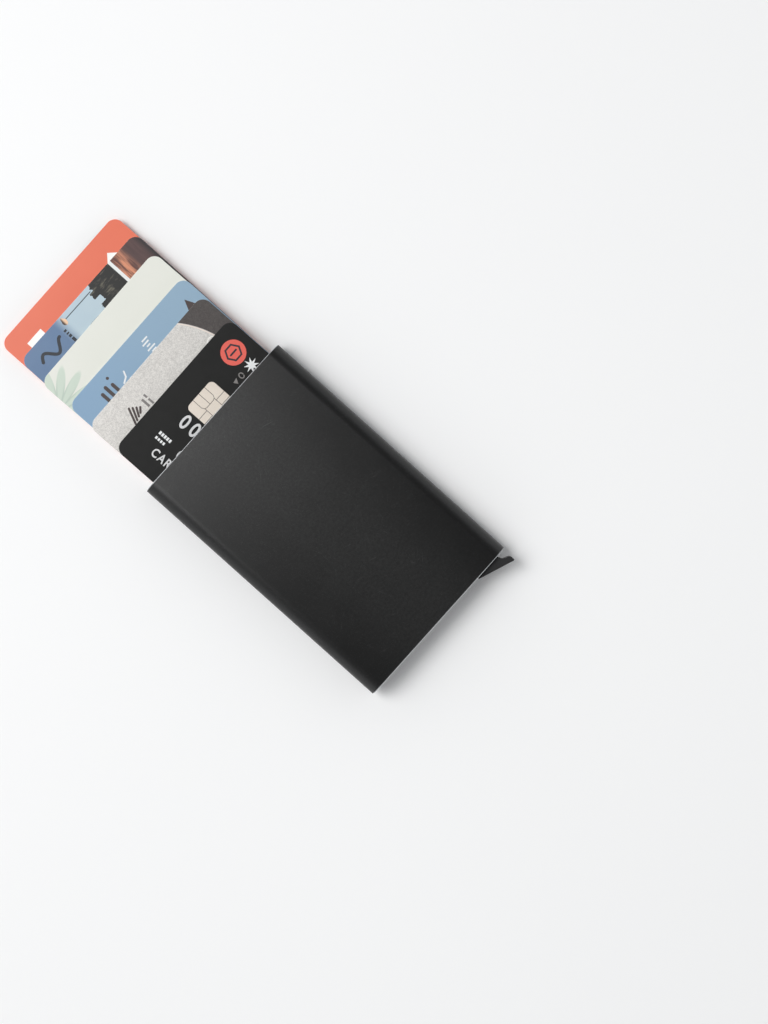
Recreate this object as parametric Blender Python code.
"""Pop-up card case: a flat metal sleeve that holds six payment-size cards, with a spring trigger in one
bottom corner that swings a stepped ejector and fans the cards out of the mouth.

The case lies on its back. Origin: centre of the sleeve's back face. +X to the right of the front face,
+Y along the cards towards the mouth, +Z out of the front face. Units are metres.
"""

import math

import bmesh
import bpy
from mathutils import Vector

MM = 0.001

# ---------------------------------------------------------------- driving dimensions
# The cards, which set the size of everything else
CARD_WIDTH = 53.98 * MM
CARD_LENGTH = 85.60 * MM
CARD_THICKNESS = 0.76 * MM
CARD_CORNER = 3.18 * MM
CARD_GAP = 0.20 * MM  # air between neighbouring cards

# The sleeve
WALL = 1.1 * MM
SIDE_MARGIN = 3.76 * MM  # from a card's long edge to the outside of the sleeve
HEADROOM = 0.62 * MM  # from the card stack to each main wall
MOUTH_INSET = 0.5 * MM  # how far a stowed card's edge lies below the mouth
MECHANISM_DEPTH = 8.9 * MM  # from a stowed card's inner edge to the bottom of the sleeve
EDGE_ROUND = 0.35 * MM  # rounding of the mouth and bottom edges
SIDE_SEGMENTS = 16  # facets on each half-round side

# The chassis that closes the bottom end
END_RECESS = 0.3 * MM  # chassis end face below the sleeve's bottom edge
END_WALL = 1.3 * MM
FLOOR_PLATE = 0.42 * MM
COVER_PLATE = 0.38 * MM
LEG_CLEARANCE = 0.55 * MM  # from a skewed card's lowest corner to the chassis legs

# The trigger
PIVOT_INSET_X = 7.6 * MM  # from the sleeve's right side
PIVOT_INSET_Y = 5.0 * MM  # from the sleeve's bottom edge
PIN_RADIUS = 0.9 * MM
HUB_RADIUS = 2.6 * MM
NECK_RADIUS = 1.6 * MM  # where the return spring sits
PADDLE_WIDTH = 9.0 * MM
FIN_DROP = 4.9 * MM  # how far the fin's toe stands below the sleeve
FIN_TOE_INSET = 0.65 * MM  # from the fin's toe to the sleeve's right side
LEAF_CLEARANCE = 1.0 * MM  # from the hub to where the leaves start
SHORTEST_REACH = 14.0 * MM  # pivot to tip of the front card's leaf
TIP_INSET = 5.5 * MM  # from the longest leaf's tip to the card's far edge
NOSE_RADIUS = 1.2 * MM
RIVET_RADIUS = 0.55 * MM
RIVET_PLACES = (5.5 * MM, 9.0 * MM)  # left of the pivot

# The return spring
SPRING_WIRE = 0.20 * MM  # wire radius
SPRING_RADIUS = 2.1 * MM
SPRING_TURNS = 4
SPRING_PITCH = 0.5 * MM

# Felt, chip
FELT_THICKNESS = 0.42 * MM
CHIP_WIDTH = 11.8 * MM
CHIP_LENGTH = 13.0 * MM
CHIP_CORNER = 1.6 * MM
CHIP_THICKNESS = 0.20 * MM
CHIP_FROM_CENTRE = 3.1 * MM  # across the card
CHIP_FROM_EDGE = 8.4 * MM  # below the card's leading edge

# Clearances
FIT = 0.06 * MM  # between pieces that are fixed together
RUNNING = 0.05 * MM  # pivot pin in its bore
SWING = 0.35 * MM  # between the ejector and what it swings past

# name, how far it stands out of the mouth, how far it lies askew; back of the stack first
CARDS = (
    ("card_coral", 65.2 * MM, 0.35, (0.85, 0.24, 0.13)),
    ("card_city", 56.7 * MM, 0.10, (0.26, 0.42, 0.58)),
    ("card_leaf", 47.8 * MM, 0.90, (0.78, 0.84, 0.75)),
    ("card_sky", 36.1 * MM, 0.40, (0.28, 0.43, 0.56)),
    ("card_silver", 27.4 * MM, 0.90, (0.60, 0.60, 0.58)),
    ("card_black", 16.3 * MM, 0.55, (0.02, 0.02, 0.02)),
)

# ---------------------------------------------------------------- sizes that follow
LAYER_PITCH = CARD_THICKNESS + CARD_GAP
STACK_HEIGHT = len(CARDS) * LAYER_PITCH - CARD_GAP
CASE_WIDTH = CARD_WIDTH + 2 * SIDE_MARGIN
CASE_LENGTH = CARD_LENGTH + MOUTH_INSET + MECHANISM_DEPTH
CASE_THICKNESS = STACK_HEIGHT + 2 * (HEADROOM + WALL)
STACK_BACK = WALL + HEADROOM
STACK_FRONT = STACK_BACK + STACK_HEIGHT
MOUTH_Y = CASE_LENGTH / 2
BOTTOM_Y = -CASE_LENGTH / 2
STOWED_EDGE_Y = BOTTOM_Y + MECHANISM_DEPTH  # inner edge of a stowed card
SKEW_DROP = CARD_WIDTH / 2 * math.sin(math.radians(max(card[2] for card in CARDS)))

PIVOT_X = CASE_WIDTH / 2 - PIVOT_INSET_X
PIVOT_Y = BOTTOM_Y + PIVOT_INSET_Y
END_FACE_Y = BOTTOM_Y + END_RECESS
POCKET_FLOOR_Y = END_FACE_Y + END_WALL  # inner face of the end wall
CHASSIS_TOP_Y = STOWED_EDGE_Y - SKEW_DROP - LEG_CLEARANCE
PLATE_TOP_Z = WALL + FIT + FLOOR_PLATE
COVER_BACK_Z = CASE_THICKNESS - WALL - FIT - COVER_PLATE
POCKET_HALF = PIVOT_X + HUB_RADIUS + SWING  # the same on both sides
LONGEST_REACH = PIVOT_X + CARD_WIDTH / 2 - TIP_INSET
HUB_STEP_Z = STACK_BACK + 3 * LAYER_PITCH - CARD_GAP / 2 - 0.05 * MM


def layer(index):
    """Back and front of one card's layer."""
    back = STACK_BACK + index * LAYER_PITCH
    return back, back + CARD_THICKNESS


# ---------------------------------------------------------------- tools
def clear_scene():
    for obj in list(bpy.data.objects):
        bpy.data.objects.remove(obj, do_unlink=True)


def material(name, colour, roughness, metallic=0.0):
    mat = bpy.data.materials.new(name)
    mat.use_nodes = True
    shader = mat.node_tree.nodes["Principled BSDF"]
    shader.inputs["Base Color"].default_value = (*colour, 1.0)
    shader.inputs["Roughness"].default_value = roughness
    shader.inputs["Metallic"].default_value = metallic
    mat.diffuse_color = (*colour, 1.0)
    return mat


def add_object(name, mesh, mat=None, parent=None):
    mesh.shade_smooth()
    mesh.set_sharp_from_angle(angle=math.radians(30))
    obj = bpy.data.objects.new(name, mesh)
    bpy.context.scene.collection.objects.link(obj)
    if mat:
        mesh.materials.append(mat)
    if parent:
        obj.parent = parent
    return obj


def helper(obj):
    """A cutter or a lump for a Boolean: it is never a piece of its own."""
    obj.hide_render = True
    obj.display_type = "WIRE"
    return obj


def boolean(obj, other, operation="DIFFERENCE"):
    modifier = obj.modifiers.new(operation.lower(), "BOOLEAN")
    modifier.operation = operation
    modifier.solver = "EXACT"
    modifier.object = helper(other)


def rounded(corners, step=math.radians(15)):
    """A closed outline from (x, y, radius) corners, given counter-clockwise, with each corner as an arc."""
    points = []
    for i, (x, y, radius) in enumerate(corners):
        corner = Vector((x, y))
        to_last = (Vector(corners[i - 1][:2]) - corner).normalized()
        to_next = (Vector(corners[(i + 1) % len(corners)][:2]) - corner).normalized()
        if radius <= 0:
            points.append(corner)
            continue
        half = to_last.angle(to_next) / 2
        centre = corner + (to_last + to_next).normalized() * (radius / math.sin(half))
        first = corner + to_last * (radius / math.tan(half)) - centre
        turn = math.pi - 2 * half
        if to_last.x * to_next.y - to_last.y * to_next.x > 0:
            turn = -turn
        count = max(1, math.ceil(abs(turn) / step))
        start = math.atan2(first.y, first.x)
        for k in range(count + 1):
            angle = start + turn * k / count
            points.append(centre + Vector((math.cos(angle), math.sin(angle))) * radius)
    return points


def rectangle(half_width, half_length, radius):
    return rounded(
        (
            (half_width, -half_length, radius),
            (half_width, half_length, radius),
            (-half_width, half_length, radius),
            (-half_width, -half_length, radius),
        )
    )


def circle(radius, segments=32):
    return [
        Vector((radius * math.cos(2 * math.pi * k / segments), radius * math.sin(2 * math.pi * k / segments)))
        for k in range(segments)
    ]


def prism(name, outline, back, front, mat=None, parent=None):
    """A flat outline given a thickness along Z."""
    bm = bmesh.new()
    face = bm.faces.new([bm.verts.new((p[0], p[1], back)) for p in outline])
    raised = bmesh.ops.extrude_face_region(bm, geom=[face])["geom"]
    bmesh.ops.translate(bm, vec=(0, 0, front - back), verts=[v for v in raised if isinstance(v, bmesh.types.BMVert)])
    bmesh.ops.recalc_face_normals(bm, faces=bm.faces)
    mesh = bpy.data.meshes.new(name)
    bm.to_mesh(mesh)
    bm.free()
    return add_object(name, mesh, mat, parent)


def box(name, low, high, mat=None):
    outline = ((low[0], low[1]), (high[0], low[1]), (high[0], high[1]), (low[0], high[1]))
    return prism(name, outline, low[2], high[2], mat)


def case_ring(inset, y):
    """The case's cross-section at one height: a flat band with half-round sides, drawn in by inset."""
    radius = CASE_THICKNESS / 2 - inset
    centre_x = (CASE_WIDTH - CASE_THICKNESS) / 2
    ring = []
    for side, start in ((1, -math.pi / 2), (-1, math.pi / 2)):
        for k in range(SIDE_SEGMENTS + 1):
            angle = start + math.pi * k / SIDE_SEGMENTS
            ring.append((side * centre_x + radius * math.cos(angle), y, CASE_THICKNESS / 2 + radius * math.sin(angle)))
    return ring


def skin(name, rings, closed, mat=None):
    """Bridges rings of equal length: a tube wall when closed on itself, otherwise a capped plug."""
    bm = bmesh.new()
    rows = [[bm.verts.new(p) for p in ring] for ring in rings]
    pairs = list(zip(rows, rows[1:]))
    if closed:
        pairs.append((rows[-1], rows[0]))
    else:
        bm.faces.new(rows[0])
        bm.faces.new(rows[-1])
    for lower, upper in pairs:
        for k in range(len(lower)):
            j = (k + 1) % len(lower)
            bm.faces.new((lower[k], lower[j], upper[j], upper[k]))
    bmesh.ops.recalc_face_normals(bm, faces=bm.faces)
    mesh = bpy.data.meshes.new(name)
    bm.to_mesh(mesh)
    bm.free()
    return add_object(name, mesh, mat)


# ---------------------------------------------------------------- the case
def make_sleeve(mat):
    """One length of extruded tube: the wall's section is carried round the case's outline."""
    path = []
    corners = (
        (EDGE_ROUND, BOTTOM_Y + EDGE_ROUND, math.pi * 1.5, -1),
        (EDGE_ROUND, MOUTH_Y - EDGE_ROUND, math.pi, -1),
        (WALL - EDGE_ROUND, MOUTH_Y - EDGE_ROUND, math.pi / 2, -1),
        (WALL - EDGE_ROUND, BOTTOM_Y + EDGE_ROUND, 0.0, -1),
    )
    for inset, y, start, turn in corners:
        for k in range(4):
            angle = start + turn * math.pi / 2 * k / 3
            path.append((inset + EDGE_ROUND * math.cos(angle), y + EDGE_ROUND * math.sin(angle)))
    return skin("sleeve", [case_ring(inset, y) for inset, y in path], True, mat)


def make_chassis(mat):
    """The moulding that closes the bottom: end wall, thin floor and two side legs, with a slot for the fin."""
    inset = WALL + FIT
    chassis = skin("end_chassis", [case_ring(inset, END_FACE_Y), case_ring(inset, CHASSIS_TOP_Y)], False, mat)
    beyond = CASE_THICKNESS
    pocket = box(
        "cut_pocket",
        (-POCKET_HALF, POCKET_FLOOR_Y, PLATE_TOP_Z),
        (POCKET_HALF, CHASSIS_TOP_Y + beyond, beyond),
    )
    ledge = box(
        "cut_ledge",
        (-CASE_WIDTH, POCKET_FLOOR_Y, COVER_BACK_Z - FIT),
        (CASE_WIDTH, CHASSIS_TOP_Y + beyond, beyond),
    )
    slot = box(
        "cut_slot",
        (PIVOT_X + slot_left(), END_FACE_Y - beyond, PLATE_TOP_Z),
        (PIVOT_X + heel_at_wall() + SWING, POCKET_FLOOR_Y + WALL, COVER_BACK_Z),
    )
    bore = prism("cut_pin_seat", circle(PIN_RADIUS + RUNNING), 0, PLATE_TOP_Z + MM)
    bore.location = (PIVOT_X, PIVOT_Y, 0)
    leg_z = spring_top()
    notch = box(
        "cut_spring_notch",
        (POCKET_HALF - MM, PIVOT_Y - SPRING_RADIUS - 2 * SPRING_WIRE, leg_z - 2 * SPRING_WIRE),
        (
            PIVOT_X + spring_leg_end() + 2 * SPRING_WIRE,
            PIVOT_Y - SPRING_RADIUS + 2 * SPRING_WIRE,
            leg_z + 2 * SPRING_WIRE,
        ),
    )
    for cutter in (pocket, ledge, slot, bore, notch):
        boolean(chassis, cutter)


def make_cover(mat):
    """The thin plate that closes the mechanism towards the front wall and steadies the pin."""
    front = COVER_BACK_Z + COVER_PLATE
    radius = CASE_THICKNESS / 2 - WALL
    side = (CASE_WIDTH - CASE_THICKNESS) / 2 + math.sqrt(radius**2 - (front - CASE_THICKNESS / 2) ** 2) - 2 * FIT
    centre_y = (POCKET_FLOOR_Y + CHASSIS_TOP_Y) / 2
    half = (CHASSIS_TOP_Y - POCKET_FLOOR_Y) / 2 - SWING
    outline = [p + Vector((0, centre_y)) for p in rectangle(side, half, MM)]
    cover = prism("mechanism_cover", outline, COVER_BACK_Z, front, mat)
    bore = prism("cut_cover_bore", circle(PIN_RADIUS + RUNNING), COVER_BACK_Z - MM, front + MM)
    bore.location = (PIVOT_X, PIVOT_Y, 0)
    boolean(cover, bore)


def make_felts(mat):
    """Felt strips on the inside of both main walls, which grip the card stack."""
    length = 0.6 * CARD_LENGTH
    bands = (
        ("back", WALL + FIT, 0.25 * CARD_WIDTH, 0.15 * CARD_WIDTH, length),
        ("front", CASE_THICKNESS - WALL - FIT - FELT_THICKNESS, 0.455 * CARD_WIDTH, 0.05 * CARD_WIDTH, 0.3 * length),
    )
    for wall, back, centre_x, width, run in bands:
        for side, sign in (("left", -1), ("right", 1)):
            outline = rectangle(width / 2, run / 2, 0.4 * width)
            felt = prism(f"felt_{wall}_{side}", outline, back, back + FELT_THICKNESS, mat)
            felt.location = (sign * centre_x, MOUTH_Y - 4 * MM - run / 2, 0)


# ---------------------------------------------------------------- the trigger and ejector
def toe():
    """The fin's outermost point, from the pivot."""
    return Vector((PIVOT_INSET_X - FIN_TOE_INSET, -PIVOT_INSET_Y - FIN_DROP))


def sole_start():
    """Where the fin's straight sole meets the sleeve's bottom edge, from the pivot."""
    return Vector((toe().x - FIN_TOE_INSET - PADDLE_WIDTH - 2.3 * MM, -PIVOT_INSET_Y - 0.5 * MM))


def heel_at_wall():
    """The paddle's right flank where it leaves the chassis, from the pivot."""
    return sole_start().x + PADDLE_WIDTH


def shoulder_y():
    return POCKET_FLOOR_Y - PIVOT_Y + 0.05 * MM


def slot_left():
    """The sole's corner swings furthest left where it crosses the end wall's inner face."""
    swept = math.sqrt(sole_start().length_squared - (PIVOT_Y - POCKET_FLOOR_Y) ** 2)
    return -swept - SWING


def paddle_outline():
    start = sole_start()
    tip = toe()
    heel = heel_at_wall()
    return rounded(
        (
            (start.x, shoulder_y(), 0.2 * MM),
            (start.x, start.y, 0.3 * MM),
            (tip.x, tip.y, 0.35 * MM),
            (tip.x - 0.05 * MM, tip.y + 1.9 * MM, 0.7 * MM),
            (heel + 0.6 * MM, -PIVOT_INSET_Y - 1.8 * MM, 1.0 * MM),
            (heel, -PIVOT_INSET_Y, 0.5 * MM),
            (HUB_RADIUS, shoulder_y(), 0.0),
        )
    )


def web_outline():
    """Joins the paddle to the hub, below the spring."""
    start = sole_start()
    return (
        (start.x + MM, shoulder_y() - 0.5 * MM),
        (HUB_RADIUS, shoulder_y() - 0.5 * MM),
        (HUB_RADIUS - 0.1 * MM, 0.0),
        (-HUB_RADIUS + 0.1 * MM, 0.0),
    )


def leaf_outline(reach, root):
    """An arm that lies along the bottom of the case, with a round nose under its card."""
    nose_y = STOWED_EDGE_Y - SKEW_DROP - SWING - PIVOT_Y
    base_y = shoulder_y() + SWING
    return rounded(
        (
            (root, base_y, 0.0),
            (root, 1.0 * MM, 0.0),
            (-reach, nose_y, NOSE_RADIUS),
            (-reach, nose_y - 2.6 * MM, NOSE_RADIUS),
            (-min(reach - 2.5 * MM, 11.0 * MM), base_y, 1.5 * MM),
        )[::-1]
    )


def reach_of(index):
    """The back card's leaf is the longest, so the cards come out as a fan of steps."""
    share = index / (len(CARDS) - 1)
    return LONGEST_REACH + (SHORTEST_REACH - LONGEST_REACH) * share


def rivet_holes(obj, index, axis):
    """Cuts both rivet holes through one layer of the ejector."""
    back, front = layer(index)
    for number, place in enumerate(RIVET_PLACES):
        name = f"cut_{obj.name}_rivet_{number}"
        hole = prism(name, circle(RIVET_RADIUS + FIT, 16), back - CARD_GAP / 2, front + CARD_GAP / 2, parent=axis)
        hole.location = (-place, -0.9 * MM, 0)
        boolean(obj, hole)


def make_trigger(mat, axis):
    """One moulding: hub, spring neck, fin, and the back card's long arm."""
    lever = prism("trigger_lever", circle(HUB_RADIUS, 40), STACK_BACK, HUB_STEP_Z, mat, axis)
    back, front = layer(0)
    lumps = (
        prism("add_neck", circle(NECK_RADIUS), HUB_STEP_Z - 0.2 * MM, STACK_FRONT, parent=axis),
        prism("add_paddle", paddle_outline(), STACK_BACK + 0.01 * MM, STACK_FRONT - 0.01 * MM, parent=axis),
        prism("add_web", web_outline(), STACK_BACK + 0.02 * MM, HUB_STEP_Z - 0.02 * MM, parent=axis),
        prism("add_arm", leaf_outline(reach_of(0), 0.0), back + 0.03 * MM, front, parent=axis),
    )
    for lump in lumps:
        boolean(lever, lump, "UNION")
    bore = prism("cut_lever_bore", circle(PIN_RADIUS + RUNNING), 0, CASE_THICKNESS, parent=axis)
    boolean(lever, bore)
    rivet_holes(lever, 0, axis)


def make_leaves(mat, rivet_mat, axis):
    for index in range(1, len(CARDS)):
        leaf = prism(f"ejector_leaf_{index + 1}", leaf_outline(reach_of(index), -HUB_RADIUS - LEAF_CLEARANCE), *layer(index), mat, axis)
        rivet_holes(leaf, index, axis)
    for name, place in zip(("leaf_rivet_inner", "leaf_rivet_outer"), RIVET_PLACES):
        rivet = prism(name, circle(RIVET_RADIUS, 16), STACK_BACK + FIT, STACK_FRONT - FIT, rivet_mat, axis)
        rivet.location = (-place, -0.9 * MM, 0)


def spring_bottom():
    return HUB_STEP_Z + 0.1 * MM + SPRING_WIRE


def spring_top():
    return spring_bottom() + SPRING_TURNS * SPRING_PITCH


def spring_leg_end():
    """End of the spring's fixed leg, from the pivot: inside the chassis's right leg."""
    return POCKET_HALF - PIVOT_X + 1.25 * MM


def make_spring(mat, axis):
    """Torsion spring: a short leg on the paddle's shoulder, the coil, and a fixed leg into the chassis."""
    lean = math.radians(14)
    start = -math.pi / 2 + lean
    sweep = 2 * math.pi * SPRING_TURNS - lean
    tangent = Vector((SPRING_RADIUS * math.cos(start), SPRING_RADIUS * math.sin(start)))
    leg = tangent - Vector((math.cos(lean), math.sin(lean))) * 3.4 * MM
    points = [(leg.x, leg.y, spring_bottom())]
    steps = 16 * SPRING_TURNS
    for k in range(steps + 1):
        angle = start + sweep * k / steps
        height = spring_bottom() + SPRING_TURNS * SPRING_PITCH * k / steps
        points.append((SPRING_RADIUS * math.cos(angle), SPRING_RADIUS * math.sin(angle), height))
    points.append((spring_leg_end(), -SPRING_RADIUS, spring_top()))
    curve = bpy.data.curves.new("return_spring", "CURVE")
    curve.dimensions = "3D"
    curve.bevel_depth = SPRING_WIRE
    curve.bevel_resolution = 1
    curve.use_fill_caps = True
    spline = curve.splines.new("POLY")
    spline.points.add(len(points) - 1)
    for target, point in zip(spline.points, points):
        target.co = (*point, 1.0)
    curve.materials.append(mat)
    spring = bpy.data.objects.new("return_spring", curve)
    bpy.context.scene.collection.objects.link(spring)
    spring.parent = axis


def make_pin(mat, axis):
    back = WALL + 2 * FIT
    front = CASE_THICKNESS - WALL - 2 * FIT
    prism("pivot_pin", circle(PIN_RADIUS), back, front, mat, axis)


# ---------------------------------------------------------------- the cards
def make_cards():
    for index, (name, out, skew, colour) in enumerate(CARDS):
        outline = rectangle(CARD_WIDTH / 2, CARD_LENGTH / 2, CARD_CORNER)
        back, front = layer(index)
        card = prism(name, outline, 0, front - back, material(name, colour, 0.35))
        card.location = (0, MOUTH_Y + out - CARD_LENGTH / 2, back)
        card.rotation_euler.z = math.radians(skew)
    return card


def make_chip(mat, card):
    """A contact plate let into the front card's face."""
    centre = (CHIP_FROM_CENTRE, CARD_LENGTH / 2 - CHIP_FROM_EDGE - CHIP_LENGTH / 2, 0)
    seat = CARD_THICKNESS - CHIP_THICKNESS - FIT
    pocket = prism(
        "cut_chip_pocket",
        rectangle(CHIP_WIDTH / 2 + FIT, CHIP_LENGTH / 2 + FIT, CHIP_CORNER),
        seat,
        CARD_THICKNESS + MM,
        parent=card,
    )
    pocket.location = centre
    boolean(card, pocket)
    chip = prism(
        "chip_module",
        rectangle(CHIP_WIDTH / 2, CHIP_LENGTH / 2, CHIP_CORNER),
        seat + FIT,
        CARD_THICKNESS,
        mat,
        card,
    )
    chip.location = centre


def main():
    clear_scene()
    plastic = material("black_plastic", (0.02, 0.02, 0.02), 0.45)
    steel = material("spring_steel", (0.55, 0.55, 0.55), 0.3, 1.0)
    felt = material("grey_felt", (0.08, 0.08, 0.09), 0.95)
    anodised = material("black_anodised", (0.035, 0.035, 0.035), 0.42, 0.6)
    gold = material("contact_plate", (0.75, 0.62, 0.48), 0.3, 1.0)

    make_sleeve(anodised)
    make_chassis(plastic)
    make_cover(steel)
    make_felts(felt)

    axis = bpy.data.objects.new("pivot_axis", None)
    axis.location = (PIVOT_X, PIVOT_Y, 0)
    bpy.context.scene.collection.objects.link(axis)
    make_trigger(plastic, axis)
    make_leaves(steel, steel, axis)
    make_spring(steel, axis)
    make_pin(steel, axis)

    front_card = make_cards()
    make_chip(gold, front_card)


main()
